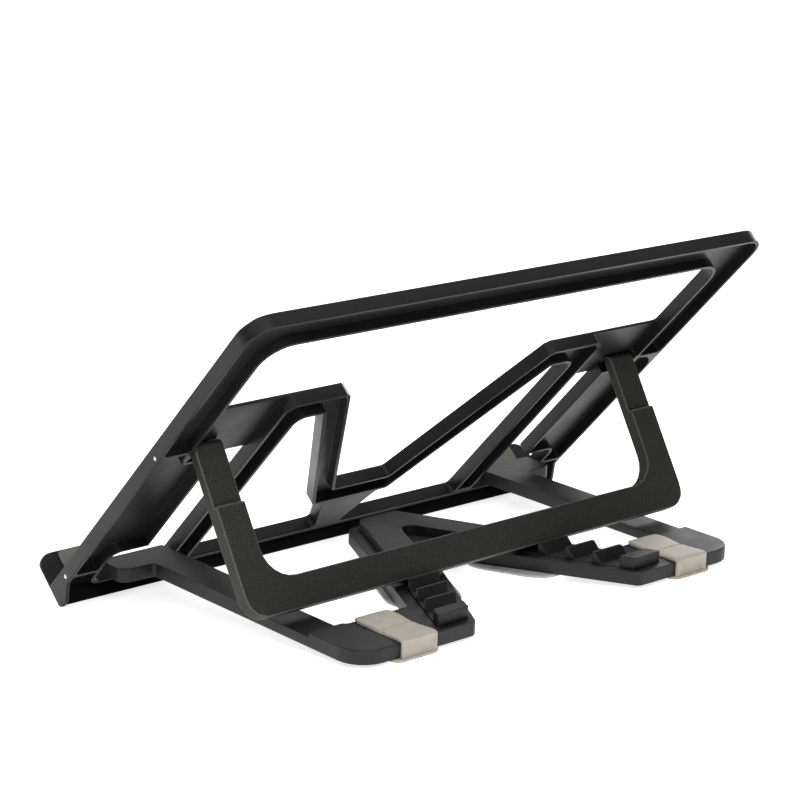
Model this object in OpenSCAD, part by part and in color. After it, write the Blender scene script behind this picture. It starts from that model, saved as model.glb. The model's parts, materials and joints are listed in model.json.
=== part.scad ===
// Folding laptop stand: a base with a stepped rack, a tilting tray and a swinging prop.
//
// Three frames are used, all in millimetres. X points to the user's right in each of them.
//   base frame: Y from the hinge line to the back, Z up from the underside of the base
//   tray frame: V up the slope from the lower pins, W out of the top face (top face at W = 0)
//   prop frame: D from the upper pins to the foot bar, M out of the back of the prop
// on_desk() puts the base frame on the desk: the stand rests on the tray's front corners and
// on the two rear feet, so the base slopes a little.

/* [Tray] */
// Width of the tray
tray_w = 300; // [285:1:360]
// Distance from the lower pins to the back edge of the tray
tray_back = 191.2; // [190:0.1:235]
// Distance from the lower pins to the front face of the lip
tray_front = 16.4; // [15:0.1:20]
// Depth of the tray's side walls
tray_h = 6.6; // [6.4:0.1:9]
// Thickness of the tray's plate
plate_t = 1.6; // [1.2:0.1:2]
// Thickness of the tray's walls
wall_t = 1.8; // [1.2:0.1:2.4]
// Radius of the two back corners, seen from above
back_r = 11.5; // [4:0.5:16]
// Radius of the two front corners, seen from above
front_r = 2.5; // [2:0.1:6]

/* [Tray openings] */
// Width of the back rail and of the two upper side rails
rail_w = 17.6; // [14:0.1:22]
// Width of the two lower side rails
lower_rail_w = 34.6; // [32:0.1:38]
// Width of the slot that the base leg folds into
slot_w = 20.9; // [19.5:0.1:24]
// Back end of the leg slot, where the bare plate starts
slot_back = 85.5; // [75:0.1:88]
// Width of the bar between the leg slot and the side window
inner_bar_w = 12.5; // [9:0.1:15]
// Width of the rail beside the recess that the base's knuckle turns in
knuckle_rail_w = 15.6; // [14:0.1:17]
// Distance from the lower pins to the back end of that recess
recess_back = 17.6; // [16.5:0.1:19]
// Distance from the lower pins to the front end of that recess
recess_front = 7.4; // [7:0.1:9]
// Front edge of the cross bar of the M frame
m_bar_front = 108.7; // [104:0.1:112]
// Back edge of the cross bar of the M frame
m_bar_back = 122.2; // [120:0.1:124]
// Half the width of the notch at its closed front end
notch_half = 16.5; // [14:0.1:20]
// Closed front end of the notch
notch_front = 31.3; // [28:0.1:32]
// Width of the bar that closes the notch
notch_bar_w = 12.8; // [9:0.1:15]
// Width of an M frame leg across the tray at its front end
m_leg_front_w = 12.7; // [9:0.1:16]
// Width of an M frame leg across the tray at its back end
m_leg_back_w = 14.4; // [10:0.1:18]
// Width of the side window along the cross bar
window_back_w = 13.7; // [8:0.1:18]
// Distance from the lower pins to the front cross bar
cross_bar = 6; // [5:0.1:8]
// Half the width of the web between the two side windows
middle_web = 7; // [4:0.5:12]
// Corner cut off the bare plate behind the leg slot
plate_corner = 4.3; // [2:0.1:6]
// Radius of the back corners of the upper window
window_r = 12; // [4:0.5:14]

/* [Lip] */
// Height of the lip above the tray's top face
lip_h = 15.8; // [8:0.1:20]
// Thickness of the lip
lip_t = 2.5; // [2:0.1:3]
// Width of each lip, from the side of the tray
lip_w = 30; // [24:0.5:60]
// Radius of a lip's outer top corner, seen from the front
lip_r = 8; // [1:0.5:8]
// Radius of its inner top corner
lip_in_r = 6; // [1:0.5:8]
// Radius of the rolled front edge that the stand rests on
toe_r = 5.6; // [4:0.1:7]

/* [Lip pad] */
// Thickness of the rubber strip behind each lip
lip_pad_t = 1.2; // [0.8:0.1:2]
// Height of the ledge that a strip stands on
lip_ledge = 0.3; // [0.2:0.1:0.8]
// Distance from the side of the tray to a strip
lip_pad_end = 11; // [9:0.5:40]
// Distance from the other edges of the lip to the strip
lip_pad_edge = 0.9; // [0.5:0.1:3]

/* [Pins] */
// Diameter of the four steel pins
pin_d = 2.2; // [1.6:0.1:2.4]
// Distance between the lower pins and the upper pins along the tray
hinge_v = 96.65; // [94:0.05:98]
// Depth of the lower pins under the tray's top face
lower_pin_depth = 3.7; // [3.5:0.1:3.9]
// Depth of the upper pins under the tray's top face
upper_pin_depth = 4.5; // [4.4:0.1:4.8]
// How far a pin reaches into the piece that turns on it
pin_grip = 13; // [8:0.5:14]
// Radial clearance of a pin in the piece that turns on it
run_clear = 0.05; // [0.02:0.01:0.1]
// Radial clearance of a pin in the tray's walls
seat_clear = 0.02; // [0.01:0.01:0.05]

/* [Prop] */
// Distance from the upper pins to the foot of the prop
prop_reach = 75.6; // [74.5:0.1:76.5]
// Width of a prop arm
prop_arm_w = 15; // [12:0.1:16]
// Height of the foot bar
prop_bar_h = 14.5; // [10:0.1:15]
// Distance from the pin centre to the front face of the prop
prop_front = 2.1; // [1.8:0.1:2.1]
// Distance from the pin centre to the back face of the thin upper arm
prop_thin_back = 2.6; // [2:0.1:2.8]
// Distance from the pin centre to the back face of the rest of the prop
prop_thick_back = 4.5; // [4:0.1:4.8]
// Radius of the two outer corners at the foot
prop_outer_r = 10; // [4:0.5:12]
// Radius of the two inner corners at the foot
prop_inner_r = 14; // [4:0.5:16]

/* [Base] */
// Thickness of the base
base_t = 6.6; // [6.2:0.1:7]
// Height of the lower pins above the underside of the base
pin_z = 2.9; // [2.7:0.1:3.2]
// Distance from the base origin to the lower pins
pin_y = 2.65; // [2:0.05:4]
// Width of a base leg
leg_w = 17.1; // [14:0.1:18]
// How much lower the leg is where the bare plate folds over it
leg_step = 1.8; // [1.7:0.1:2.4]
// Front edge of the hub that joins the two V arms
hub_front = 34.6; // [34.4:0.1:38]
// Front edge of the rear foot bar
foot_front = 128; // [126:0.1:132]
// Width of a V arm across the base, where the two arms part
v_arm_w = 33; // [28:0.5:36]
// The same at its rear end
v_arm_end_w = 26.2; // [25.5:0.1:36]
// Radius of the outer rear corners of the base
foot_r = 13; // [4:0.5:14]

/* [Rack] */
// Depth of the pocket that the rack sits in
rack_seat = 1; // [0.5:0.1:1.5]
// Height of the valleys of the rack above the underside of the base
rack_floor = 7; // [6.8:0.1:7.4]
// Height of the teeth above the underside of the base
rack_top = 12; // [11:0.1:13]
// Height of the plain front part of the rack
rack_plain_top = 11; // [9:0.1:12]
// Where the plain front part of the rack ends
rack_plain_end = 84; // [80:0.5:85]
// Upright face of the first tooth
rack_first = 89.8; // [88:0.1:91]
// Distance from one tooth to the next
rack_pitch = 11.6; // [11:0.1:12.6]
// Number of teeth
rack_teeth = 6; // [5:1:6]
// Length of the flat top of a tooth
tooth_flat = 1.2; // [0.8:0.1:1.6]
// Length of the sloping back of a tooth
tooth_slope = 3; // [2.4:0.1:3.6]
// Length of the last tooth
rack_end_block = 6.2; // [4:0.1:7]
// Valley that the prop stands in, counted from the front
seat_valley = 2; // [1:1:3]
// Width of a rack strip across the base
rack_w = 17.5; // [12:0.1:18]
// Distance from the edge of the V arm to the rack, across the base
rack_ledge = 6; // [4:0.1:8]
// Distance from the front edge of the hub to the rack
rack_front_ledge = 2.4; // [1.5:0.1:4]

/* [Feet and pads] */
// Width of a rear foot cap
cap_w = 19.2; // [14:0.1:24]
// Distance from the foot cap to the base leg
cap_leg_gap = 5.3; // [2:0.1:10]
// Distance from the base origin to the groove across a foot cap
groove_y = 145; // [140:0.5:150]
// Width of that groove
groove_w = 1.4; // [0.8:0.1:2]
// Depth of that groove
groove_depth = 0.9; // [0.4:0.1:1.2]
// Height of a foot cap above the base
cap_h = 1.9; // [1.2:0.1:2.5]
// Thickness of the foot cap behind the base
cap_wall = 1.4; // [1:0.1:2]
// How far the cap reaches over the front edge of the foot bar
cap_lap = 1; // [0:0.1:2]
// How far the top of the cap stands out over the wall behind the base
cap_brow = 0.4; // [0:0.1:0.6]
// Thickness of the pad under the foot bar
foot_pad_t = 1.3; // [1:0.1:2]
// Length of the pad under a foot cap, in front of the back of the base
foot_pad_l = 22; // [15:0.5:26]
// How far that pad reaches past the cap towards the middle
foot_pad_in = 2.5; // [0:0.1:4]
// How far that pad reaches past the cap towards the side
foot_pad_out = 4; // [0:0.1:5]
// How far the pad reaches behind the foot cap
foot_pad_tail = 0.8; // [0.5:0.1:6]
// Thickness of the pads under the V arms
arm_pad_t = 1.2; // [0.8:0.1:2]
// Distance from the base origin to the middle of the pads under the V arms
arm_pad_y = 100; // [80:1:120]
// Length of the pads under the V arms
arm_pad_l = 48; // [30:1:60]
// How far those pads reach past the V arm on each side
arm_pad_edge = 2.7; // [0:0.1:4]

/* [Clearances] */
// Gap between the base leg and the outer side of its slot
leg_gap = 1.3; // [0.8:0.1:2]
// Gap between the V arm and the side of the notch, across the tray
notch_gap = 1; // [0.6:0.1:2]
// Gap between the prop and the side rails
prop_gap = 1.3; // [0.8:0.1:2]
// Gap between the knuckle and the outer side of its recess
knuckle_gap = 3.1; // [2:0.1:4]
// Gap between the back of the knuckle and the back end of its recess
tab_gap = 0.75; // [0.6:0.05:1.5]
// Gap between a prop arm's end and the wall in front of it
arm_end_gap = 3.05; // [2.5:0.05:4]
// Gap between the sunk part of a base leg and the plate that folds over it, at each end
step_gap = 1.3; // [0.8:0.1:1.6]
// Gap between the folded prop and the piece in front of or behind it
fold_gap = 0.4; // [0.3:0.1:1]
// Gap between the prop and the bottom of the valley that it stands in
seat_gap = 0.3; // [0.2:0.05:0.6]
// Gap between the foot of the prop and the tooth in front of it
tooth_gap = 0.2; // [0.1:0.05:0.5]
// Gap between a foot cap and the rack
cap_rack_gap = 1.5; // [0.5:0.1:4]

/* [Hidden] */
$fn = 64;
arc_step = 15;
eps = 0.5;

// Lines across the tray, as distances from its middle
tray_half = tray_w / 2;
window_half = tray_half - rail_w;
slot_out = tray_half - lower_rail_w;
slot_in = slot_out - slot_w;
inner_bar_in = slot_in - inner_bar_w;
recess_out = tray_half - knuckle_rail_w;
notch_slope = (inner_bar_in - window_back_w - m_leg_back_w - notch_half) / (m_bar_front - notch_front);
window_back = tray_back - rail_w;

// Lines on the base
leg_out = slot_out - leg_gap;
leg_in = leg_out - leg_w;
tab_out = recess_out - knuckle_gap;
tab_back = pin_y + recess_back - tab_gap;
rack_end = rack_first + (rack_teeth - 1) * rack_pitch + rack_end_block;
cap_back = pin_y + hinge_v + prop_reach - prop_bar_h - fold_gap;
foot_back = cap_back - cap_wall;
cap_in = max(leg_in - cap_leg_gap - cap_w, v_arm_x(rack_end) - rack_ledge + cap_rack_gap);
cap_out = cap_in + cap_w;
pad_back = cap_back + foot_pad_tail;

// Prop
prop_half = window_half - prop_gap;
prop_inner = prop_half - prop_arm_w;
prop_step = m_bar_back - hinge_v + fold_gap;

// Pose of the stand: the triangle of the lower pin, the upper pin and the foot of the prop
seat_z = rack_floor + seat_gap;
tray_side = norm([hinge_v, upper_pin_depth - lower_pin_depth]);
prop_side = norm([prop_reach, prop_front]);
prop_skew = atan2(prop_front, prop_reach);
tray_skew = atan2(upper_pin_depth - lower_pin_depth, hinge_v);

// Angle of the tray when the prop's front corner stands at y
function tray_angle(y) =
    let (side = norm([y - pin_y, seat_z - pin_z]))
    acos((pow(tray_side, 2) + pow(side, 2) - pow(prop_side, 2)) / (2 * tray_side * side))
        + atan2(seat_z - pin_z, y - pin_y) + tray_skew;
// Angle of the prop below the level then
function prop_angle(y) =
    let (a = tray_angle(y) - tray_skew)
    -atan2(seat_z - pin_z - tray_side * sin(a), y - pin_y - tray_side * cos(a)) - prop_skew;
// Where that corner stands: behind the foot of the tooth in front, and so that the prop's front
// face passes behind the tooth's top edge, which takes a few rounds because the angle follows
valley_front = rack_first + (seat_valley - 1) * rack_pitch + tooth_flat;
function seat(y, rounds) = rounds == 0 ? y
    : seat(max(valley_front + tooth_slope, valley_front + (rack_top - seat_z) / tan(prop_angle(y))) + tooth_gap,
        rounds - 1);
seat_y = seat(valley_front + tooth_slope + tooth_gap, 4);
theta = tray_angle(seat_y);
phi = prop_angle(seat_y);
tray_y = pin_y - lower_pin_depth * sin(theta);
tray_z = pin_z + lower_pin_depth * cos(theta);
hinge = tray_point(hinge_v, -upper_pin_depth);

// Slope of the base: a line under the tray's rolled front edge and the rear edge of the foot pads
toe = tray_point(toe_r - tray_front, -tray_h);
toe_to_pad = [pad_back, -foot_pad_t] - toe;
base_slope = atan2(toe_to_pad[1], toe_to_pad[0]) + asin(toe_r / norm(toe_to_pad));
lip_corner = tray_point(-tray_front, lip_h);
front_y = lip_corner[0] * cos(base_slope) + lip_corner[1] * sin(base_slope);
rear_y = pad_back * cos(base_slope);
desk_y = -(front_y + rear_y) / 2;
desk_z = pad_back * sin(base_slope) + foot_pad_t * cos(base_slope);

// A point of the tray frame, in the base frame
function tray_point(v, w) =
    [tray_y + v * cos(theta) - w * sin(theta), tray_z + v * sin(theta) + w * cos(theta)];

// Half width of the notch in the tray
function notch_x(v) = notch_half + notch_slope * (v - notch_front);
// Outer line of an M frame leg
m_leg_slope = (inner_bar_in - window_back_w - notch_half - m_leg_front_w) / (m_bar_front - notch_front);
function m_leg_x(v) = notch_half + m_leg_front_w + m_leg_slope * (v - notch_front);
// Outer line of a V arm of the base, which runs along the notch
function v_arm_x(y) = notch_x(y - pin_y) - notch_gap;
function v_arm_y(x) = pin_y + notch_front + (x + notch_gap - notch_half) / notch_slope;

// Outlines are lists of [x, y, corner radius], anticlockwise
function both_sides(half) =
    concat(half, [for (i = [len(half) - 1:-1:0]) if (half[i][0] > 0) [-half[i][0], half[i][1], half[i][2]]]);
function flat(p) = [p[0], p[1]];
function unit(a) = a / norm(a);
function left_of(a) = [-a[1], a[0]];
function edge_in(pts, i) = unit(flat(pts[i]) - flat(pts[(i + len(pts) - 1) % len(pts)]));
function edge_out(pts, i) = unit(flat(pts[(i + 1) % len(pts)]) - flat(pts[i]));
function turn(a, b) = atan2(a[0] * b[1] - a[1] * b[0], a * b);
function mitre(a, b) = (left_of(a) + left_of(b)) / (1 + a * b);
// The same outline, moved inwards by t
function inset(pts, t) = [for (i = [0:len(pts) - 1])
    let (a = edge_in(pts, i), b = edge_out(pts, i), p = flat(pts[i]) + t * mitre(a, b))
    [p[0], p[1], max(pts[i][2] - t * sign(turn(a, b)), 0)]];
// The same outline with its corners turned into arcs
function rounded(pts) = [for (i = [0:len(pts) - 1])
    let (a = edge_in(pts, i), b = edge_out(pts, i), r = pts[i][2], bend = turn(a, b), side = sign(bend),
        centre = flat(pts[i]) + side * r * mitre(a, b), start = -side * left_of(a),
        from = atan2(start[1], start[0]), steps = max(1, ceil(abs(bend) / arc_step)))
    each r == 0 ? [flat(pts[i])]
        : [for (k = [0:steps]) centre + r * [cos(from + bend * k / steps), sin(from + bend * k / steps)]]];

module slab(pts, low, high) {
    translate([0, 0, low]) linear_extrude(high - low) polygon(rounded(pts));
}

// A profile drawn in the (Y, Z) plane, drawn out along X from x_low to x_high
module along_x(x_low, x_high) {
    translate([x_low, 0, 0]) rotate([90, 0, 90]) linear_extrude(x_high - x_low) children();
}

// A front view drawn in the (X, W) plane, drawn out by depth towards the front, from v = back
module across(back, depth) {
    translate([0, back, 0]) rotate([90, 0, 0]) linear_extrude(depth) children();
}

module both() {
    children();
    mirror([1, 0, 0]) children();
}

module on_desk() {
    translate([0, desk_y, desk_z]) rotate([-base_slope, 0, 0]) children();
}

module on_tray() {
    on_desk() translate([0, tray_y, tray_z]) rotate([theta, 0, 0]) children();
}

module on_prop() {
    on_desk() translate([0, hinge[0], hinge[1]]) rotate([-phi, 0, 0]) children();
}

// Outlines of the tray

tray_outline = both_sides([[tray_half, -tray_front, front_r], [tray_half, tray_back, back_r]]);

// Notch and upper window in one
upper_opening = both_sides([
    [notch_half, notch_front, 2], [notch_x(m_bar_back - 2), m_bar_back - 2, 1],
    [notch_x(m_bar_back) + 2, m_bar_back, 1], [window_half, m_bar_back, 1.5], [window_half, window_back, window_r]]);

side_window = [
    [middle_web, -cross_bar, 2], [inner_bar_in, -cross_bar, 2], [inner_bar_in, m_bar_front, 5],
    [m_leg_x(m_bar_front), m_bar_front, 1], [m_leg_x(notch_front - notch_bar_w), notch_front - notch_bar_w, 3],
    [notch_half, notch_front - notch_bar_w, 2]];

leg_slot = [
    [slot_in, -recess_front, 1], [recess_out, -recess_front, 5], [recess_out, recess_back, 5],
    [slot_out, recess_back, 1], [slot_out, slot_back, 1.5], [slot_in, slot_back, 1.5]];

// Where the plate is bare underneath, so that the base leg and the prop arm lie flat under it
pivot_wall = hinge_v - prop_thin_back - arm_end_gap;
bare_plate = [
    [slot_in, slot_back - 2, 0], [slot_out, slot_back - 2, 0], [slot_out, pivot_wall, 0],
    [window_half, pivot_wall, 0], [window_half, m_bar_back + 3, 0], [slot_in + 3, m_bar_back + 3, 0],
    [slot_in - plate_corner, m_bar_back, 0], [slot_in, m_bar_back - plate_corner, 0]];

// Regions whose underside is hollow inside a wall; the ribs between them are 2 mm thick
rib_half = 1;
rib_v = hinge_v + 2.3;
toe_rib_v = 3.9;
upper_region = both_sides([
    [window_half, window_back, window_r], [window_half, rib_v + rib_half - wall_t, 0],
    [tray_half, rib_v + rib_half - wall_t, 4], [tray_half, tray_back, back_r]]);
lower_region = [
    [recess_out, toe_rib_v + rib_half - wall_t, 2], [tray_half, toe_rib_v + rib_half - wall_t, 4],
    [tray_half, rib_v - rib_half + wall_t, 13], [window_half, rib_v - rib_half + wall_t, 2],
    [window_half, pivot_wall, 0], [slot_out, pivot_wall, 3], [slot_out, recess_back, 0],
    [recess_out, recess_back, 5]];
front_region = both_sides([
    [tray_half, -tray_front, front_r], [tray_half, toe_rib_v - rib_half + wall_t, 2],
    [recess_out, toe_rib_v - rib_half + wall_t, 2], [recess_out, -recess_front, 5]]);
m_region = both_sides([
    [m_leg_x(notch_front - notch_bar_w), notch_front - notch_bar_w, 3], [m_leg_x(m_bar_front), m_bar_front, 1],
    [inner_bar_in, m_bar_front, 5], [inner_bar_in, -cross_bar, 0], [slot_in, -cross_bar, 3],
    [slot_in, m_bar_back - plate_corner, 1], [slot_in - plate_corner, m_bar_back, 1], [notch_x(m_bar_back) + 2, m_bar_back, 1],
    [notch_x(m_bar_back - 2), m_bar_back - 2, 1], [notch_half, notch_front, 2]]);

// Front view of a lip and of its strip, in the (X, W) plane
lip_in = tray_half - lip_w;
lip_outline = [[lip_in, -plate_t, 0], [tray_half, -plate_t, 0], [tray_half, lip_h, lip_r], [lip_in, lip_h, lip_in_r]];
strip_in = lip_in + lip_pad_edge;
strip_out = tray_half - lip_pad_end;
strip_top = lip_h - lip_pad_edge;
strip_outline = [[strip_in, lip_ledge, 0], [strip_out, lip_ledge, 0], [strip_out, strip_top, 2],
    [strip_in, strip_top, max(lip_in_r - lip_pad_edge, 0)]];
// Side view of the rolled front edge, in (V, W)
lip_back = lip_t - tray_front;
toe_end = -1;
toe_slope = asin(toe_r / (toe_end + tray_front - toe_r));
toe_profile = [
    [-tray_front, eps - tray_h, 0], [-tray_front, -tray_h - (toe_end + tray_front) * tan(toe_slope), toe_r],
    [toe_end, -tray_h, 0], [toe_end, eps - tray_h, 0]];

module tray_plate() {
    difference() {
        slab(tray_outline, -tray_h, 0);
        slab(upper_opening, -tray_h - eps, eps);
        both() slab(side_window, -tray_h - eps, eps);
        both() slab(leg_slot, -tray_h - eps, eps);
        both() slab(bare_plate, -tray_h - eps, -plate_t);
        slab(inset(upper_region, wall_t), -tray_h - eps, -plate_t);
        slab(inset(front_region, wall_t), -tray_h - eps, -plate_t);
        slab(inset(m_region, wall_t), -tray_h - eps, -plate_t);
        both() slab(inset(lower_region, wall_t), -tray_h - eps, -plate_t);
    }
}

// A wall of thickness t along the outline of the tray, where the profile drawn as a child crosses it
module rim(t, low, high) {
    intersection() {
        difference() {
            slab(tray_outline, low, high);
            slab(inset(tray_outline, t), low - eps, high + eps);
        }
        along_x(-tray_half - eps, tray_half + eps) children();
    }
}

// Where an upper pin leaves the rail's inner wall
module pin_boss() {
    boss_half = 4;
    slab([[prop_half + seat_gap, hinge_v - boss_half, 1], [window_half + wall_t + 1, hinge_v - boss_half, 0],
        [window_half + wall_t + 1, hinge_v + boss_half, 0], [prop_half + seat_gap, hinge_v + boss_half, 1]],
        -tray_h, -plate_t + 0.01);
}

module pin_bore(v, depth, low, high, r) {
    translate([low, v, -depth]) rotate([0, 90, 0]) cylinder(r = r, h = high - low);
}

module tray() {
    color([0.09, 0.09, 0.09]) on_tray() difference() {
        union() {
            tray_plate();
            intersection() {
                slab(tray_outline, -plate_t, lip_h);
                both() across(lip_back, lip_t + eps) polygon(rounded(lip_outline));
            }
            both() across(lip_back + lip_pad_t, lip_pad_t + eps)
                translate([strip_in, -eps]) square([strip_out - strip_in, lip_ledge + eps]);
            rim(wall_t, -tray_h - toe_r - eps, -tray_h + eps) polygon(rounded(toe_profile));
            both() pin_boss();
        }
        both() pin_bore(0, lower_pin_depth, recess_out - eps, tray_half + eps, pin_d / 2 + seat_clear);
        both() pin_bore(hinge_v, upper_pin_depth, prop_half, tray_half + eps, pin_d / 2 + seat_clear);
    }
}

// A rubber strip that the front edge of the laptop rests against
module lip_pad_right() {
    color([0.47, 0.47, 0.44]) on_tray() across(lip_back + lip_pad_t, lip_pad_t) polygon(rounded(strip_outline));
}

module lip_pad_left() {
    mirror([1, 0, 0]) lip_pad_right();
}

// A pin on the right, flush with the tray's side, from x = low outwards
module pin(v, depth, low) {
    chamfer = 0.3;
    color([0.75, 0.75, 0.76]) on_tray() translate([low, v, -depth]) rotate([0, 90, 0]) {
        cylinder(r1 = pin_d / 2 - chamfer, r2 = pin_d / 2, h = chamfer);
        translate([0, 0, chamfer]) cylinder(d = pin_d, h = tray_half - low - 2 * chamfer);
        translate([0, 0, tray_half - low - chamfer]) cylinder(r1 = pin_d / 2, r2 = pin_d / 2 - chamfer, h = chamfer);
    }
}

module lower_pin_right() {
    pin(0, lower_pin_depth, tab_out - pin_grip);
}

module lower_pin_left() {
    mirror([1, 0, 0]) lower_pin_right();
}

module upper_pin_right() {
    pin(hinge_v, upper_pin_depth, prop_half - pin_grip);
}

module upper_pin_left() {
    mirror([1, 0, 0]) upper_pin_right();
}

// Prop, in its own frame: D is drawn as Y and M as Z
prop_outline = both_sides([
    [prop_inner, prop_reach - prop_bar_h, prop_inner_r], [prop_inner, -prop_thin_back, 0],
    [prop_half, -prop_thin_back, 0], [prop_half, prop_reach, prop_outer_r]]);

module prop() {
    bore_end = prop_half - pin_grip - eps;
    color([0.13, 0.13, 0.11]) on_prop() difference() {
        intersection() {
            slab(prop_outline, -prop_front, prop_thick_back);
            along_x(-prop_half - eps, prop_half + eps) {
                circle(prop_thin_back);
                translate([0, -prop_front]) square([prop_step, prop_front + prop_thin_back]);
                translate([prop_step, -prop_front]) square([prop_reach - prop_step, prop_front + prop_thick_back]);
            }
        }
        both() pin_bore(0, 0, bore_end, prop_half + eps, pin_d / 2 + run_clear);
    }
}

// Base
knuckle_r = base_t - pin_z;
base_outline = both_sides([
    [v_arm_x(hub_front), hub_front, 6], [v_arm_x(foot_front), foot_front, 3], [leg_in, foot_front, 4],
    [leg_in, pin_y - knuckle_r, 1], [tab_out, pin_y - knuckle_r, 5], [tab_out, tab_back, 5],
    [leg_out, tab_back, 2], [leg_out, foot_back, foot_r], [v_arm_x(foot_back) - v_arm_end_w, foot_back, 4],
    [0, v_arm_y(v_arm_w), 5]]);
leg_hollow = [
    [leg_in + wall_t, tab_back + 5, 2], [leg_out - wall_t, tab_back + 5, 2],
    [leg_out - wall_t, foot_back - wall_t, foot_r - wall_t], [leg_in + wall_t, foot_back - wall_t, 2]];
rack_front = hub_front + rack_front_ledge;
rack_outline = both_sides([
    [v_arm_x(rack_front) - rack_ledge, rack_front, 4], [v_arm_x(rack_end) - rack_ledge, rack_end, 0.8],
    [v_arm_x(rack_end) - rack_ledge - rack_w, rack_end, 0.8], [0, v_arm_y(rack_ledge + rack_w), 5]]);

module base() {
    step_z = base_t - leg_step;
    step_front = pin_y + slot_back + step_gap - 2;
    step_back = pin_y + m_bar_back + step_gap + 0.5;
    color([0.1, 0.1, 0.1]) on_desk() difference() {
        intersection() {
            slab(base_outline, 0, base_t);
            along_x(-tray_half, tray_half) {
                translate([pin_y, pin_z]) circle(knuckle_r);
                translate([pin_y, 0]) square([foot_back, base_t]);
            }
        }
        both() translate([leg_in - eps, step_front, step_z]) cube([leg_w + 2 * eps, step_back - step_front, base_t]);
        both() slab(leg_hollow, -eps, step_z - wall_t);
        slab(inset(rack_outline, -0.1), base_t - rack_seat, base_t + eps);
        both() translate([tab_out - pin_grip - eps, pin_y, pin_z]) rotate([0, 90, 0])
            cylinder(d = pin_d + 2 * run_clear, h = pin_grip + 2 * eps);
    }
}

// Side view of the rack: upright faces look forwards, and the prop's foot stands in front of one
function tooth_y(n) = rack_first + n * rack_pitch;
rack_profile = concat(
    [[0, base_t - rack_seat], [rack_end, base_t - rack_seat], [rack_end, rack_top],
        [tooth_y(rack_teeth - 1), rack_top], [tooth_y(rack_teeth - 1), rack_floor]],
    [for (n = [rack_teeth - 2:-1:0]) each [[tooth_y(n) + tooth_flat + tooth_slope, rack_floor],
        [tooth_y(n) + tooth_flat, rack_top], [tooth_y(n), rack_top], [tooth_y(n), rack_floor]]],
    [[rack_plain_end + 2, rack_floor], [rack_plain_end, rack_plain_top], [0, rack_plain_top]]);

module rack() {
    color([0.09, 0.09, 0.09]) on_desk() intersection() {
        slab(rack_outline, base_t - rack_seat, rack_top);
        along_x(-tray_half, tray_half) polygon(rack_profile);
    }
}

// A rubber clip over the rear foot bar, with the pad that the stand rests on
module foot_cap_right() {
    cap_top = base_t + cap_h;
    color([0.72, 0.70, 0.66]) on_desk() difference() {
        union() {
            slab([[cap_in, foot_front - cap_lap, 3], [cap_out, foot_front - cap_lap, 3], [cap_out, cap_back, 1],
                [cap_in, cap_back, 1]], base_t, cap_top);
            translate([cap_in, foot_back, -foot_pad_t]) cube([cap_w, cap_wall - cap_brow, cap_top + foot_pad_t - 1]);
            slab([[cap_in - foot_pad_in, foot_back - foot_pad_l, 5], [cap_out + foot_pad_out, foot_back - foot_pad_l, 5],
                [cap_out + foot_pad_out, pad_back, 5], [cap_in - foot_pad_in, pad_back, 5]], -foot_pad_t, 0);
        }
        translate([cap_in - eps, groove_y - groove_w / 2, cap_top - groove_depth])
            cube([cap_w + 2 * eps, groove_w, groove_depth + eps]);
    }
}

module foot_cap_left() {
    mirror([1, 0, 0]) foot_cap_right();
}

module arm_pad_right() {
    pad_x = v_arm_x(arm_pad_y) - v_arm_w / 2;
    arm_angle = atan(notch_slope);
    half_w = (v_arm_w / 2 + arm_pad_edge) * cos(arm_angle);
    color([0.66, 0.66, 0.66]) on_desk() translate([pad_x, arm_pad_y, 0]) rotate([0, 0, -arm_angle])
        slab([[-half_w, -arm_pad_l / 2, 14], [half_w, -arm_pad_l / 2, 14], [half_w, arm_pad_l / 2, 14],
            [-half_w, arm_pad_l / 2, 14]], -arm_pad_t, 0);
}

module arm_pad_left() {
    mirror([1, 0, 0]) arm_pad_right();
}

base();
rack();
foot_cap_left();
foot_cap_right();
arm_pad_left();
arm_pad_right();
tray();
lip_pad_left();
lip_pad_right();
lower_pin_left();
lower_pin_right();
upper_pin_left();
upper_pin_right();
prop();
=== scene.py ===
# %% [markdown]
# # A folding laptop stand
#
# The stand has four mouldings in black plastic: a tray that the laptop lies on, a prop behind it,
# a flat base, and a rack with steps that the prop stands in. Four steel pins, two rubber clips on
# the rear feet, two rubber pads under the base and two rubber strips on the lips finish it.
#
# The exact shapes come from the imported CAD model. Blender gives them what a drawing leaves out:
# edges that a mould has rounded, the grain of each surface, light and a camera.

# %% Load the frame
import json
from math import cos, radians, sin

import bmesh
import bpy
from mathutils import Matrix, Vector

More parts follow.
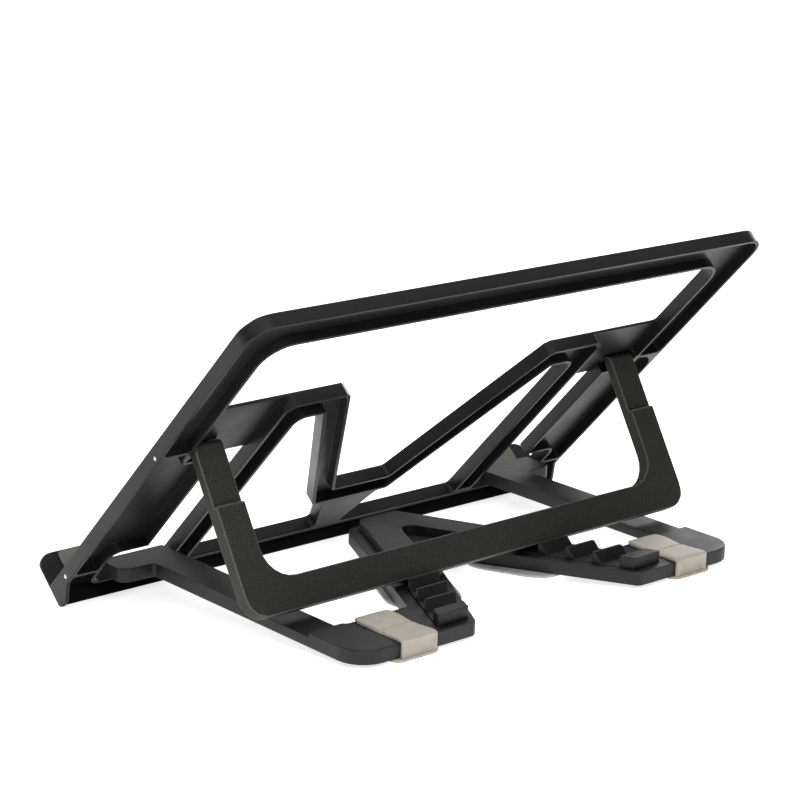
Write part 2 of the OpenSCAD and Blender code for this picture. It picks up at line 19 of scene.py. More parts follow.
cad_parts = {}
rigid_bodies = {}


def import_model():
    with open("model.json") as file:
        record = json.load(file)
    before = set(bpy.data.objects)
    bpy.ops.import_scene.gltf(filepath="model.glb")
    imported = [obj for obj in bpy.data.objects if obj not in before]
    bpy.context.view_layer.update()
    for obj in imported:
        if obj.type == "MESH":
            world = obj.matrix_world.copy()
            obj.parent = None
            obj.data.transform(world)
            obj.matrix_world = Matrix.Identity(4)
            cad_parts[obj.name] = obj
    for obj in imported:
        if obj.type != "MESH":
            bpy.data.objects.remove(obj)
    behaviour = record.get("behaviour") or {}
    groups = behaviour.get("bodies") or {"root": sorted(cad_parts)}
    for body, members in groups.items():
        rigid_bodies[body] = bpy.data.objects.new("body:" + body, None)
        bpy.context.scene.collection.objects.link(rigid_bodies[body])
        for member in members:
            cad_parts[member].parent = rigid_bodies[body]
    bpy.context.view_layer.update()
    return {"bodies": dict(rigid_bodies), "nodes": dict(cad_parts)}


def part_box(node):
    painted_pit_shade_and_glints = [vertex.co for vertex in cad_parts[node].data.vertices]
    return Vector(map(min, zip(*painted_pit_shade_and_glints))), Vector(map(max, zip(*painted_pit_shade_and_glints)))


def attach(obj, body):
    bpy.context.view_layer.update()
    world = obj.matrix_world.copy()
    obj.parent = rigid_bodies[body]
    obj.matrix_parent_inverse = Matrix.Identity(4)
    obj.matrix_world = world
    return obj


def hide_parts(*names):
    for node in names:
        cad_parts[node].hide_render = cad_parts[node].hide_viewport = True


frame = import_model()
mm = 0.001

# %% [markdown]
# ## Selecting and modifying
#
# An operator acts on everything that is selected, and loading leaves the CAD pieces selected.
# So two small helpers come first: one selects a single piece, and one adds a modifier to it
# and applies it at once.


# %% Select one piece, and apply a modifier to it
def only(piece):
    """Makes piece the one selected object."""
    bpy.ops.object.select_all(action="DESELECT")
    piece.select_set(True)
    bpy.context.view_layer.objects.active = piece


def apply_modifier(piece, kind, **settings):
    """Adds a modifier with these settings and applies it."""
    only(piece)
    modifier = piece.modifiers.new(kind.title(), kind)
    for name, value in settings.items():
        setattr(modifier, name, value)
    bpy.ops.object.modifier_apply(modifier=modifier.name)


print("CAD pieces loaded:", len(frame["nodes"]))

# %% [markdown]
# ## After a bevel
#
# A bevel on a busy mesh leaves corners that lie on top of each other, and faces with no area
# between them. Merging what is closer than any tool could measure closes the mesh again.
# Smooth shading then follows the rounded edges. Weighted normals keep the large faces flat, which
# plain smooth shading would seem to bend towards their edges.


# %% Close and shade a beveled piece
sliver = 0.002 * mm


def drop_slivers(piece):
    """Merges the corners of a piece that lie closer together than a sliver."""
    only(piece)
    bpy.ops.object.mode_set(mode="EDIT")
    bpy.ops.mesh.select_all(action="SELECT")
    bpy.ops.mesh.remove_doubles(threshold=sliver)
    bpy.ops.mesh.dissolve_degenerate(threshold=sliver)
    bpy.ops.object.mode_set(mode="OBJECT")


def smooth(piece, angle=40):
    """Shades the piece smooth, except over edges sharper than angle, and keeps large faces flat."""
    only(piece)
    bpy.ops.object.shade_smooth_by_angle(angle=radians(angle))
    apply_modifier(piece, "WEIGHTED_NORMAL", keep_sharp=True, weight=80)


print("corners closer than", round(sliver / mm, 3), "mm are merged")

# %% [markdown]
# ## Standing in for the CAD
#
# Every piece made here stands for one solid of the CAD model and moves with the body that the
# solid belongs to. The body is looked up rather than written down, so it can't be wrong.


# %% Hand a piece over to the frame
def hand_over(piece, node):
    """Lets the piece stand for a CAD node: it moves with the node's body, and the node is hidden.
    """
    body = next(b for b, e in frame["bodies"].items() if frame["nodes"][node].parent == e)
    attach(piece, body)
    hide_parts(node)
    print(f"{piece.name}: {len(piece.data.polygons)} faces, rides on {body}")


def middle(node):
    """The middle of a CAD node's box."""
    low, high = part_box(node)
    return (low + high) / 2


print("middle of the tray in mm:", [round(c / mm, 1) for c in middle("tray")])

# %% [markdown]
# ## Moulded edges
#
# Each plastic piece comes out of a steel mould, and no mould has a perfectly sharp edge. The
# thin line of light along a rounded edge is what tells the eye that a black piece is real.
#
# The mesh of a CAD piece is made of loose triangles, some of them very long. A bevel can fold
# such a triangle, or one huge face with many corners, over itself. Modelling the piece again by
# hand would lose its exact shape, so a copy is merged and made regular first: its flat faces are
# dissolved, cut into bands, and divided again into well-shaped triangles.

# %% Give a copy of a CAD piece a regular mesh
loose_gap = 0.001 * mm
flat_angle = radians(0.5)
band = 8 * mm
# the cuts are shifted by a part of a band, so that they run clear of the pieces' own edges
band_shift = 0.37
band_steps = range(-11, 12)


def make_regular(piece):
    """Merges the triangles of a copy and divides them well. The piece stays in edit mode."""
    only(piece)
    bpy.ops.mesh.customdata_custom_splitnormals_clear()
    bpy.ops.object.mode_set(mode="EDIT")
    bpy.ops.mesh.select_all(action="SELECT")
    bpy.ops.mesh.remove_doubles(threshold=loose_gap)
    bpy.ops.mesh.dissolve_limited(angle_limit=flat_angle)
    for step in band_steps:
        bpy.ops.mesh.select_all(action="SELECT")
        bpy.ops.mesh.bisect(plane_co=(0, (step + band_shift) * band, 0), plane_no=(0, 1, 0))
    bpy.ops.mesh.select_all(action="SELECT")
    bpy.ops.mesh.quads_convert_to_tris(quad_method="BEAUTY", ngon_method="BEAUTY")


print("bands from front to back:", len(band_steps) + 1)

# %% [markdown]
# A Bevel modifier rounds by angle or by weight. Weight is chosen here, because the small bores
# for the pins are reamed after moulding and have to stay sharp. Every other edge that turns by
# more than 30 degrees gets the full weight. The new faces along the edges can have a material
# of their own, which needs its slot before the bevel.

# %% Round the edges of a copy
rounded_angle = radians(30)
bore_reach = 1.4 * mm
bores = [middle(pin) for pin in ("lower_pin_right", "upper_pin_right")]


def in_a_bore(corner):
    """True on the edge of one of the four bores, which share two lines across the stand."""
    return any((corner.yz - bore.yz).length < bore_reach for bore in bores)


def weigh_edges(piece):
    """Gives a bevel weight to every edge that the mould rounds, and leaves edit mode."""
    mesh = bmesh.from_edit_mesh(piece.data)
    weight = mesh.edges.layers.float.new("bevel_weight_edge")
    for side in mesh.edges:
        if side.is_manifold and side.calc_face_angle() > rounded_angle:
            side[weight] = 0 if all(in_a_bore(v.co) for v in side.verts) else 1
    bmesh.update_edit_mesh(piece.data)
    bpy.ops.object.mode_set(mode="OBJECT")


def moulded_copy(node, edge, edge_slot=-1, suffix="_moulding"):
    """A copy of a CAD piece whose edges are rounded to edge millimetres."""
    piece = bpy.data.objects.new(node + suffix, frame["nodes"][node].data.copy())
    bpy.context.scene.collection.objects.link(piece)
    piece.data.materials.clear()
    for _ in range(edge_slot + 1):
        piece.data.materials.append(None)
    make_regular(piece)
    weigh_edges(piece)
    apply_modifier(piece, "BEVEL", width=edge * mm, segments=2, limit_method="WEIGHT",
                   material=edge_slot, use_clamp_overlap=False)
    drop_slivers(piece)
    smooth(piece)
    return piece


print("the bores lie at", [[round(c / mm, 1) for c in bore.yz] for bore in bores])

# %% [markdown]
# ## The four mouldings
#
# The tray has thin walls, so its edges are the tightest. The prop is a thick bar with softer edges,
# which get a slot of their own: their paler tone is a painted highlight along the rounded edges.

# %% Make the four mouldings
tray = moulded_copy("tray", edge=0.4)
prop = moulded_copy("prop", edge=0.6, edge_slot=1)
base = moulded_copy("base", edge=0.5)
rack = moulded_copy("rack", edge=0.5)
for piece, node in ((tray, "tray"), (prop, "prop"), (base, "base"), (rack, "rack")):
    hand_over(piece, node)

# %% [markdown]
# ## Steel pins
#
# The tray and the prop turn on four short steel pins, pushed in from the sides of the tray until
# they are flush. Each is a length of ground wire with a small chamfer at both ends. One is
# modelled as a cylinder with beveled end faces, and the others are copies with their own mesh,
# because four separate cylinders would be the same work four times.

# %% Model one pin at the origin, along X
low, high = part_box("lower_pin_right")
pin_length, pin_width = high.x - low.x, high.z - low.z
bpy.ops.object.select_all(action="DESELECT")
bpy.ops.mesh.primitive_cylinder_add(vertices=48, radius=pin_width / 2, depth=pin_length,
                                    rotation=(0, radians(90), 0))
first_pin = bpy.context.object
bpy.ops.object.transform_apply(location=True, rotation=True, scale=True)
apply_modifier(first_pin, "BEVEL", width=0.3 * mm, segments=3, limit_method="ANGLE",
               angle_limit=radians(60))
smooth(first_pin)
print("pin in mm:", round(pin_length / mm, 1), "long,", round(pin_width / mm, 1), "thick")


# %% Copy the pin and set all four where the CAD has them
def twin(piece):
    """A copy of a piece with a mesh of its own."""
    copy = piece.copy()
    copy.data = piece.data.copy()
    bpy.context.scene.collection.objects.link(copy)
    return copy


pins = [first_pin] + [twin(first_pin) for _ in range(3)]
pin_nodes = ("lower_pin_right", "lower_pin_left", "upper_pin_right", "upper_pin_left")
for piece, node in zip(pins, pin_nodes):
    piece.name = node + "_steel"
    piece.data.transform(Matrix.Translation(middle(node)))
    hand_over(piece, node)

# %% [markdown]
# ## Rubber clips on the rear feet
#
# A soft rubber clip is stretched over the rear bar of each foot: a crowned tongue on top with a
# groove across it, a wall with a framed panel behind, and a rounded pad below that the stand
# rests on. The CAD piece could be copied as above, but it has flat faces, and stretched rubber
# has none. So the clip is modelled from a box. It is made flat, in the base's own directions,
# where every cut is straight, and tilted with the base at the end.


# %% Start from a box and select corners by their place
def block(low, high):
    """A box between two corners in millimetres, open in edit mode."""
    bpy.ops.object.select_all(action="DESELECT")
    bpy.ops.mesh.primitive_cube_add(size=1, location=[(a + b) / 2 * mm for a, b in zip(low, high)],
                                    scale=[(b - a) * mm for a, b in zip(low, high)])
    bpy.ops.object.transform_apply(location=True, rotation=True, scale=True)
    bpy.ops.object.mode_set(mode="EDIT")
    return bpy.context.object


def pick(piece, test):
    """Selects, in edit mode, the corners whose place in millimetres passes the test."""
    mesh = bmesh.from_edit_mesh(piece.data)
    bpy.ops.mesh.select_mode(type="VERT")
    bpy.ops.mesh.select_all(action="DESELECT")
    for v in mesh.verts:
        v.select = test(v.co.x / mm, v.co.y / mm, v.co.z / mm)
    mesh.select_flush_mode()
    bmesh.update_edit_mesh(piece.data)


def cut_at(normal, places):
    """Cuts the piece in edit mode square to normal at each place, in millimetres."""
    for place in places:
        bpy.ops.mesh.select_all(action="SELECT")
        bpy.ops.mesh.bisect(plane_co=[n * place * mm for n in normal], plane_no=normal)


# in millimetres: x from the middle of the clip, y back from the hinge, z up from under the base
base_t, foot_back = 6.6, 158.6
clip_w, clip_h, clip_front, clip_back = 19.2, 1.9, 127.0, 160.0
half = clip_w / 2
groove = 145.0
# how closely the place of a corner is matched
match = 0.01
print("the clip covers", round(foot_back - clip_front, 1), "mm of the foot")

# %% [markdown]
# The tongue's height is a profile from front to back: thin at the front edge, swelling to a soft
# ridge, down to the groove, and up again at the back. The box is cut across at each station of
# the profile and lengthwise into lanes, so that every crossing can get its own height.

# %% Cut the box into stations and lanes
top_profile = [(clip_front, 0.9), (128.5, 1.55), (131.0, 1.85), (136.0, 1.85), (141.0, 1.55),
               (groove - 0.8, 1.3), (groove - 0.5, 0.95), (groove + 0.5, 0.95),
               (groove + 0.8, 1.45), (149.0, 1.45), (153.5, 1.6), (157.0, 1.9), (158.8, 1.8),
               (clip_back, 1.2)]
stations = [y for y, height in top_profile[1:-2]] + [foot_back]
frame_w = 1.2
lanes = (-half, -half + frame_w, -half * 0.5, 0, half * 0.5, half - frame_w, half)

clip = block((-half, clip_front, base_t), (half, clip_back, base_t + clip_h))
cut_at((0, 1, 0), stations)
cut_at((1, 0, 0), lanes[1:-1])
# the wall behind the base is pulled down from the last strip underneath, to 0.4 mm below it
wall_drop = base_t + 0.4
pick(clip, lambda x, y, z: z < base_t + match and y > foot_back - match)
bpy.ops.mesh.extrude_region_move(TRANSFORM_OT_translate={"value": (0, 0, -wall_drop * mm)})
print("stations:", len(stations), "lanes:", len(lanes) - 1)

# %% [markdown]
# Every crossing of a station and a lane is now moved to its height: the profile's, less a little
# towards the sides, where the rubber thins out. Sculpting would do it too, but not twice alike.


# %% Crown the top
def tongue_height(y):
    """Height of the clip's top above the base, along the profile."""
    for (y0, h0), (y1, h1) in zip(top_profile, top_profile[1:]):
        if y <= y1:
            return h0 + (h1 - h0) * (y - y0) / (y1 - y0)
    return top_profile[-1][1]


edge_drop, crown_drop = 0.35, 0.12
for y in [clip_front] + stations + [clip_back]:
    for x in lanes:
        rim = edge_drop if abs(x) > half - 0.1 else crown_drop * (x / half) ** 2
        pick(clip, lambda a, b, c: abs(a - x) < match and abs(b - y) < match and c > base_t + 1)
        bpy.ops.transform.translate(value=(0, 0, (tongue_height(y) - rim - clip_h) * mm))
print("height in the groove:", tongue_height(groove), "mm, behind it:", tongue_height(149.0), "mm")

# %% [markdown]
# The sides draw in a little round the groove, and the front corners are cut back, so that the
# tongue lies down on the foot with a narrow tip.

# %% Draw in the sides and cut back the front corners
waist, tip = 0.94, 0.88
pick(clip, lambda x, y, z: z > base_t + 0.1 and groove - 5 < y < groove + 5 and abs(x) > half - 0.1)
bpy.ops.transform.resize(value=(waist, 1, 1))
pick(clip, lambda x, y, z: y < clip_front + 0.5 and abs(x) > half - 1)
bpy.ops.transform.translate(value=(0, 1.5 * mm, 0))
pick(clip, lambda x, y, z: y < clip_front + 0.5 or (y < clip_front + 2 and abs(x) > half - 0.1))
bpy.ops.transform.resize(value=(tip, 1, 1))
print("width at the groove:", round(clip_w * waist, 1), "mm, at the tip:", round(clip_w * tip, 1))

# %% [markdown]
# The wall behind has a panel that sits a little inside its frame. Inset makes the frame and
# pushes the panel in, in one step. Then all edges of the clip are rounded, as soft rubber is.

# %% Sink the panel and round the clip
mesh = bmesh.from_edit_mesh(clip.data)
bpy.ops.mesh.select_mode(type="FACE")
bpy.ops.mesh.select_all(action="DESELECT")
for face in mesh.faces:
    spot = face.calc_center_median() / mm
    on_the_wall = face.normal.y > 0.9 and spot.z < base_t - 0.5
    face.select = on_the_wall and abs(spot.x) < half - frame_w
bmesh.update_edit_mesh(clip.data)
bpy.ops.mesh.inset(thickness=1.3 * mm, depth=-0.6 * mm)
bpy.ops.object.mode_set(mode="OBJECT")
apply_modifier(clip, "BEVEL", width=0.3 * mm, segments=2, limit_method="ANGLE",
               angle_limit=radians(28), use_clamp_overlap=False)
drop_slivers(clip)
print("clip in mm:", [round(v / mm, 1) for v in clip.dimensions])

# %% [markdown]
# The pad under the clip is a flat block with well-rounded corners. It reaches past the clip on
# both sides and behind, and the stand rests on it.

# %% The pad below
pad_t, pad_tail, pad_length, corner_r = 1.3, 0.8, 22, 5
pad = block((-half - 2.5, foot_back - pad_length, -pad_t), (half + 4, clip_back + pad_tail, 0))
mesh = bmesh.from_edit_mesh(pad.data)
bpy.ops.mesh.select_mode(type="EDGE")
bpy.ops.mesh.select_all(action="DESELECT")
for edge in mesh.edges:
    a, b = (v.co for v in edge.verts)
    edge.select = abs(a.z - b.z) > abs(a.x - b.x) + abs(a.y - b.y)
bmesh.update_edit_mesh(pad.data)
bpy.ops.mesh.bevel(offset=corner_r * mm, segments=8)
bpy.ops.object.mode_set(mode="OBJECT")
apply_modifier(pad, "BEVEL", width=0.35 * mm, segments=2, limit_method="ANGLE",
               angle_limit=radians(60))
print("pad in mm:", [round(v / mm, 1) for v in pad.dimensions])

# %% [markdown]
# Clip and pad are one rubber piece. They are joined, and a copy is mirrored for the left foot.
# Mirroring turns a mesh inside out, so its faces are flipped back. The base slopes by nearly
# four degrees at rest, and the clips slope with it.


# %% Join the clip and its pad, and set both clips on the rear feet
def seat_clip(piece, node, side):
    """Mirrors a clip where side is -1, tilts it with the base, and sets it where the CAD has it."""
    piece.name = node + "_rubber"
    piece.data.transform(Matrix.Diagonal((side, 1, 1, 1)))
    if side < 0:
        piece.data.flip_normals()
    piece.data.transform(Matrix.Rotation(-base_slope, 4, "X"))
    low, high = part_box(node)
    xs, ys, zs = zip(*(v.co for v in piece.data.vertices))
    offset = Vector((low.x - min(xs), high.y - max(ys), low.z - min(zs)))
    piece.data.transform(Matrix.Translation(offset))
    hand_over(piece, node)


base_slope = radians(3.961)
only(clip)
pad.select_set(True)
bpy.ops.object.join()
smooth(clip, 50)
clips = [clip, twin(clip)]
seat_clip(clips[0], "foot_cap_right", 1)
seat_clip(clips[1], "foot_cap_left", -1)

# %% [markdown]
# ## Rubber pads under the base
#
# A thin oval sheet of rubber is stuck under each arm of the base, so that the stand doesn't slip.
# It is cut from sheet, so its flat shape is right in the CAD already, and only its edges are eased.

# %% The two pads
pads = []
for node in ("arm_pad_right", "arm_pad_left"):
    pads.append(moulded_copy(node, edge=0.3, suffix="_sheet"))
    hand_over(pads[-1], node)

# %% [markdown]
# ## Rubber strips behind the lips
#
# The front edge of the laptop leans on two thin grey strips, one on the inner face of each lip.
# They are small and plain, so the CAD's shape with eased edges is enough.

# %% The two strips
strips = []
for node in ("lip_pad_right", "lip_pad_left"):
    strips.append(moulded_copy(node, edge=0.35))
    hand_over(strips[-1], node)

# %% [markdown]
# ## Colours and shader nodes
#
# Colours are given as on a colour card, in sRGB hex, and Blender wants linear light, so one
# function turns them. Another adds a shader node with its settings and links in one go.


# %% Turn a colour, and add a shader node
def colour(hex_code):
    """A linear RGBA colour from an sRGB hex code."""
    parts = [int(hex_code[i:i + 2], 16) / 255 for i in (1, 3, 5)]
    return [c / 12.92 if c <= 0.04045 else ((c + 0.055) / 1.055) ** 2.4 for c in parts] + [1]


def add(tree, kind, inputs=None, **settings):
    """Adds a shader node. An input is a plain value, or a socket of another node to link from."""
    node = tree.nodes.new("ShaderNode" + kind)
    for name, value in settings.items():
        setattr(node, name, value)
    for name, value in (inputs or {}).items():
        if isinstance(value, bpy.types.NodeSocket):
            tree.links.new(value, node.inputs[name])
        else:
            node.inputs[name].default_value = value
    return node


print("mid grey in linear light:", round(colour("#808080")[0], 3))

# %% [markdown]
# Every material begins with the place on the piece, in Object coordinates, so that its pattern
# sits still on the piece as that moves. The scale of a pattern is one over the real distance
# between two lumps of it. Every material closes with a shader. What is the same all over is set
# on the shader itself, and what varies is linked to it.


# %% Begin and close a material, and dress pieces in it
def begin(name):
    """A new material without nodes: returns it, its tree, and the place on the piece."""
    material = bpy.data.materials.new(name)
    material.use_nodes = True
    tree = material.node_tree
    tree.nodes.clear()
    return material, tree, add(tree, "TexCoord").outputs["Object"]


def close(material, inputs):
    """Gives a material its shader, with these inputs, and returns it."""
    tree = material.node_tree
    shader = add(tree, "BsdfPrincipled", inputs)
    add(tree, "OutputMaterial", {"Surface": shader.outputs[0]})
    return material


def dress(material, *pieces, slot=0):
    """Puts a material into a slot of each piece."""
    for piece in pieces:
        while len(piece.data.materials) <= slot:
            piece.data.materials.append(None)
        piece.data.materials[slot] = material
    print(material.name, "on", ", ".join(p.name for p in pieces))


print("pieces to dress:", 4 + len(pins) + len(clips) + len(pads) + len(strips))

# %% [markdown]
# ## Moulded ABS
#
# The tray is injection moulded from black ABS in a mould with a fine satin finish. It reflects
# light softly, a little unevenly where the plastic flowed and where fingers have been. An even
# roughness would be simpler, but a large black face then looks painted.


# %% Satin moulded ABS, for the tray
def satin_moulded_abs():
    """Nearly black, with soft highlights that fade in and out over a few centimetres."""
    material, tree, place = begin("satin_moulded_abs")
    flow = add(tree, "TexNoise", {"Vector": place, "Scale": 1 / (35 * mm), "Detail": 3,
                                  "Roughness": 0.5}).outputs["Fac"]
    # the satin of the mould is about 0.05 mm, drawn at 0.5 mm so that it shows
    satin = add(tree, "TexNoise", {"Vector": place, "Scale": 1 / (0.5 * mm), "Detail": 1,
                                   "Roughness": 0.5}).outputs["Fac"]
    shade = add(tree, "Mix", {"Factor": flow, "A": colour("#0e0e0f"), "B": colour("#151517")},
                data_type="RGBA")
    gloss = add(tree, "MapRange", {"Value": flow, "From Min": 0.3, "From Max": 0.7,
                                   "To Min": 0.34, "To Max": 0.5})
    bumps = add(tree, "Bump", {"Height": satin, "Distance": 0.02 * mm, "Strength": 0.5})
    return close(material, {
        "Base Color": shade.outputs["Result"], "Roughness": gloss.outputs["Result"],
        "Normal": bumps.outputs["Normal"], "IOR": 1.53, "Specular IOR Level": 0.26})


dress(satin_moulded_abs(), tray)

# %% [markdown]
# The prop's mould was spark eroded, which leaves an even pebbly texture. It scatters light in tiny
# points, so the piece looks matt and a little warmer than its neighbours. The same pattern drives
# colour and bumps: each pit is lower and is painted darker, as painted shade, and the tops between
# the pits are painted paler, as painted glints. Along the edges the same finish is used in a paler
# tone, as a painted highlight along the rounded edges.


# %% Spark-textured ABS, for the prop
def spark_textured_abs(name, dark, light):
    """Matt charcoal, with painted shade in the pits and painted glints on the tops between them."""
    material, tree, place = begin(name)
    # the pits are about 0.2 mm, drawn at 0.7 mm so that they show
    pits = add(tree, "TexNoise", {"Vector": place, "Scale": 1 / (0.7 * mm), "Detail": 2,
                                  "Roughness": 0.6}).outputs["Fac"]
    patches = add(tree, "TexNoise", {"Vector": place, "Scale": 1 / (18 * mm), "Detail": 2,
                                     "Roughness": 0.5}).outputs["Fac"]
    # the tops between the pits are painted paler, as painted glints, and the pits darker, as
    # painted shade
    painted_pit_shade_and_glints = add(tree, "MapRange", {"Value": pits, "From Min": 0.35, "From Max": 0.65,
                                    "To Min": 0, "To Max": 1}).outputs["Result"]
    shade = add(tree, "Mix", {"Factor": painted_pit_shade_and_glints, "A": colour(dark), "B": colour(light)},
                data_type="RGBA")
    gloss = add(tree, "MapRange", {"Value": patches, "From Min": 0.3, "From Max": 0.7,
                                   "To Min": 0.55, "To Max": 0.68})
    bumps = add(tree, "Bump", {"Height": pits, "Distance": 0.08 * mm, "Strength": 0.9})
    return close(material, {
        "Base Color": shade.outputs["Result"], "Roughness": gloss.outputs["Result"],
        "Normal": bumps.outputs["Normal"], "IOR": 1.53, "Specular IOR Level": 0.4})


# the darker colour is painted shade in the pits, the paler one painted glints on the tops
dress(spark_textured_abs("spark_textured_abs", "#121210", "#292924"), prop)
# the paler tone on the prop's rounded edges is a painted highlight
dress(spark_textured_abs("spark_textured_abs_painted_edge_highlight", "#3c3c37", "#56564f"), prop, slot=1)

# %% [markdown]
# ## Glass-filled nylon
#
# The base and the rack carry the load and are moulded in glass-filled nylon. It is a slightly
# greyer black with a dull skin, and handling leaves faint pale smudges on the flat faces. Only
# the high parts of a broad noise are used for them, so that most of a face stays clean.


# %% Glass-filled nylon, for the base and the rack
def glass_filled_nylon(name, dark, light, smudge):
    """Dull black with pale smudges, as strong as smudge says, from 0 to 1."""
    material, tree, place = begin(name)
    smudges = add(tree, "TexNoise", {"Vector": place, "Scale": 1 / (22 * mm), "Detail": 4,
                                     "Roughness": 0.65}).outputs["Fac"]
    # the fibres near the skin are about 0.1 mm, drawn at 0.45 mm so that they show
    fibres = add(tree, "TexNoise", {"Vector": place, "Scale": 1 / (0.45 * mm), "Detail": 1,
                                    "Roughness": 0.5}).outputs["Fac"]
    marks = add(tree, "MapRange", {"Value": smudges, "From Min": 0.45, "From Max": 0.75,
                                   "To Min": 0, "To Max": smudge}).outputs["Result"]
    shade = add(tree, "Mix", {"Factor": marks, "A": colour(dark), "B": colour(light)},
                data_type="RGBA")
    gloss = add(tree, "MapRange", {"Value": smudges, "From Min": 0.3, "From Max": 0.7,
                                   "To Min": 0.42, "To Max": 0.58})
    bumps = add(tree, "Bump", {"Height": fibres, "Distance": 0.03 * mm, "Strength": 0.6})
    return close(material, {
        "Base Color": shade.outputs["Result"], "Roughness": gloss.outputs["Result"],
        "Normal": bumps.outputs["Normal"], "IOR": 1.53, "Specular IOR Level": 0.36})


dress(glass_filled_nylon("glass_filled_nylon_base", "#0f0f10", "#1e1e20", 0.8), base)
dress(glass_filled_nylon("glass_filled_nylon_rack", "#101012", "#1c1c1e", 0.6), rack)

# %% [markdown]
# ## Silicone, sheet rubber and steel
#
# The clips are moulded in warm grey silicone: soft, faintly see-through at thin edges, and
# powdery, because dust clings to it. A little light below the surface gives the first, and a
# little sheen the second.


# %% Moulded silicone, for the clips
def moulded_silicone():
    """Warm grey and powdery, with soft edges."""
    material, tree, place = begin("moulded_silicone")
    dust = add(tree, "TexNoise", {"Vector": place, "Scale": 1 / (5 * mm), "Detail": 4,
                                  "Roughness": 0.6}).outputs["Fac"]
    powder = add(tree, "TexNoise", {"Vector": place, "Scale": 1 / (0.5 * mm), "Detail": 2,
                                    "Roughness": 0.5}).outputs["Fac"]
    specks = add(tree, "MapRange", {"Value": dust, "From Min": 0.3, "From Max": 0.7,
                                    "To Min": 0, "To Max": 1}).outputs["Result"]
    shade = add(tree, "Mix", {"Factor": specks, "A": colour("#a39b8f"), "B": colour("#b3ab9e")},
                data_type="RGBA")
    gloss = add(tree, "MapRange", {"Value": dust, "From Min": 0.3, "From Max": 0.7,
                                   "To Min": 0.5, "To Max": 0.65})
    bumps = add(tree, "Bump", {"Height": powder, "Distance": 0.03 * mm, "Strength": 0.5})
    return close(material, {
        "Base Color": shade.outputs["Result"], "Roughness": gloss.outputs["Result"],
        "Normal": bumps.outputs["Normal"], "IOR": 1.41, "Specular IOR Level": 0.4,
        "Subsurface Weight": 0.1, "Subsurface Scale": 1 * mm,
        "Sheen Weight": 0.15, "Sheen Roughness": 0.5})


dress(moulded_silicone(), *clips)

# %% [markdown]
# The pads and the strips are cut from plain rubber sheet, which has a dull chalky skin. The
# strips are darker and a little greener than the pads.


# %% Sheet rubber, for the pads and the strips
def sheet_rubber(name, dark, light):
    """Dull grey with chalky clouds a few millimetres across."""
    material, tree, place = begin(name)
    chalk = add(tree, "TexNoise", {"Vector": place, "Scale": 1 / (3 * mm), "Detail": 4,
                                   "Roughness": 0.6}).outputs["Fac"]
    clouds = add(tree, "MapRange", {"Value": chalk, "From Min": 0.3, "From Max": 0.7,
                                    "To Min": 0, "To Max": 1}).outputs["Result"]
    shade = add(tree, "Mix", {"Factor": clouds, "A": colour(dark), "B": colour(light)},
                data_type="RGBA")
    gloss = add(tree, "MapRange", {"Value": chalk, "From Min": 0.3, "From Max": 0.7,
                                   "To Min": 0.6, "To Max": 0.75})
    bumps = add(tree, "Bump", {"Height": chalk, "Distance": 0.04 * mm, "Strength": 0.5})
    return close(material, {
        "Base Color": shade.outputs["Result"], "Roughness": gloss.outputs["Result"],
        "Normal": bumps.outputs["Normal"], "IOR": 1.5, "Specular IOR Level": 0.35})


dress(sheet_rubber("sheet_rubber_light", "#9c9c9a", "#b2b2af"), *pads)
dress(sheet_rubber("sheet_rubber_mid", "#74746a", "#828278"), *strips)

# %% [markdown]
# The pins are ground steel wire, bright, with fine scratches along their length. A noise that
# is stretched twenty times along X gives them without a single one being modelled.


# %% Ground steel, for the pins
def ground_steel():
    """Bright metal whose highlight is broken up by scratches."""
    material, tree, place = begin("ground_steel")
    along = add(tree, "Mapping", {"Vector": place, "Scale": (0.05, 1, 1)}).outputs["Vector"]
    # the scratches are about 0.02 mm, drawn at 0.2 mm so that they show
    scratches = add(tree, "TexNoise", {"Vector": along, "Scale": 1 / (0.2 * mm), "Detail": 3,
                                       "Roughness": 0.5}).outputs["Fac"]
    shade = add(tree, "Mix", {"Factor": scratches, "A": colour("#a9a9a8"),
                              "B": colour("#cfcfce")}, data_type="RGBA")
    gloss = add(tree, "MapRange", {"Value": scratches, "From Min": 0.3, "From Max": 0.7,
                                   "To Min": 0.18, "To Max": 0.34})
    return close(material, {"Base Color": shade.outputs["Result"],
                            "Roughness": gloss.outputs["Result"], "Metallic": 1.0})


dress(ground_steel(), *pins)

# %% [markdown]
# ## Floor
#
# The floor is white acrylic with a light under it, so that hardly any shadow shows. A floor that
# only reflects would turn grey away from the lights. A very broad haze keeps it from being flat.

# %% Pale floor
bpy.ops.object.select_all(action="DESELECT")
bpy.ops.mesh.primitive_plane_add(size=60)
floor = bpy.context.object
floor.name = "floor"


def lit_acrylic():
    """Even white that glows a little, so that it stays white in the shade."""
    material, tree, place = begin("lit_acrylic")
    haze = add(tree, "TexNoise", {"Vector": place, "Scale": 1 / (300 * mm), "Detail": 2,
                                  "Roughness": 0.5}).outputs["Fac"]
    shade = add(tree, "Mix", {"Factor": haze, "A": colour("#f7f7f7"), "B": colour("#fbfbfb")},
                data_type="RGBA")
    return close(material, {
        "Base Color": shade.outputs["Result"], "Roughness": 0.9, "Specular IOR Level": 0.1,
        "Emission Color": (1, 1, 1, 1), "Emission Strength": 0.75})


dress(lit_acrylic(), floor)

# %% [markdown]
# ## Light
#
# The stand is black on white, so light has to draw its edges. A wide silk above makes the upper
# faces greyer than the upright ones. A sun with a very large angle does this evenly over the
# whole stand, where a lamp would be brighter in the middle. A softbox far off in front glances
# off the far foot, and a small one close behind lights the near arm of the prop.


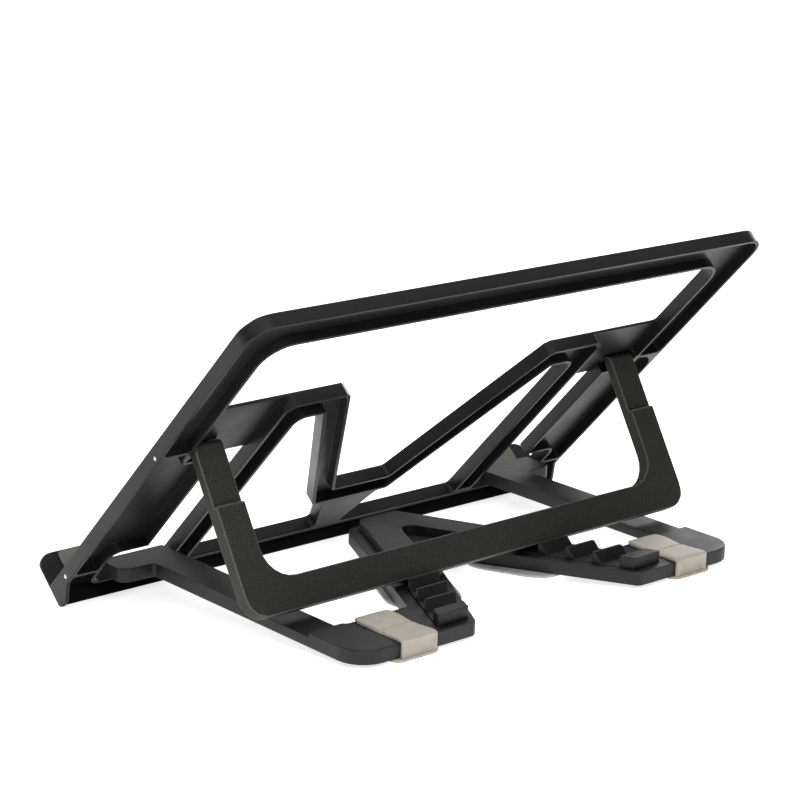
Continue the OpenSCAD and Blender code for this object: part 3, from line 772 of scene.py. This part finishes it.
# %% Soft light from above, and a dim room
def soft_light(name, place, aim, size, watts):
    """A square softbox at place, in metres, that faces aim."""
    bpy.ops.object.light_add(type="AREA", location=place)
    light = bpy.context.object
    light.name = name
    light.rotation_euler = (Vector(aim) - Vector(place)).to_track_quat("-Z", "Y").to_euler()
    light.data.shape = "SQUARE"
    light.data.size = size
    light.data.energy = watts
    light.visible_camera = False
    return light


bpy.ops.object.light_add(type="SUN", location=(0, 0, 3), rotation=(radians(20), radians(8), 0))
silk = bpy.context.object
silk.name = "overhead_silk"
silk.data.energy = 2.5
silk.data.angle = radians(110)
glance = soft_light("glancing_softbox", (-2.2, -0.9, 0.75), aim=(-0.1, 0.05, 0.03),
                    size=1.2, watts=28)
near = soft_light("near_softbox", (0.2, 0.36, 0.32), aim=(0.1, 0.02, 0.06), size=0.2, watts=0.75)

world = bpy.data.worlds.new("studio")
bpy.context.scene.world = world
world.use_nodes = True
room = world.node_tree.nodes["Background"].inputs
room["Color"].default_value = colour("#ffffff")
room["Strength"].default_value = 0.1
bpy.context.scene.view_settings.view_transform = "Standard"
print("lights:", silk.name, glance.name, near.name)

# %% [markdown]
# ## Camera
#
# The camera stands behind the stand, on its right side and a little above it, with a long lens,
# so that the far end looks nearly as large as the near one. Its place is given by two angles and
# a distance from the point it looks at, which is easier to adjust than three coordinates.

# %% Camera
azimuth, elevation, roll = radians(41.036), radians(12.79), radians(-1.059)
aim = Vector((3.68, -9.07, 79.5)) * mm
distance = 1140.49 * mm
away = Vector((sin(azimuth) * cos(elevation), cos(azimuth) * cos(elevation), sin(elevation)))
bpy.ops.object.camera_add(location=aim + away * distance)
camera = bpy.context.object
camera.rotation_mode = "QUATERNION"
level = (-away).to_track_quat("-Z", "Y")
camera.rotation_quaternion = level @ Matrix.Rotation(roll, 4, "Z").to_quaternion()
camera.data.sensor_width = 36
camera.data.lens = 113.53
camera.data.clip_start, camera.data.clip_end = 0.01, 200
bpy.context.scene.camera = camera
print("camera at", [round(c, 3) for c in camera.location])
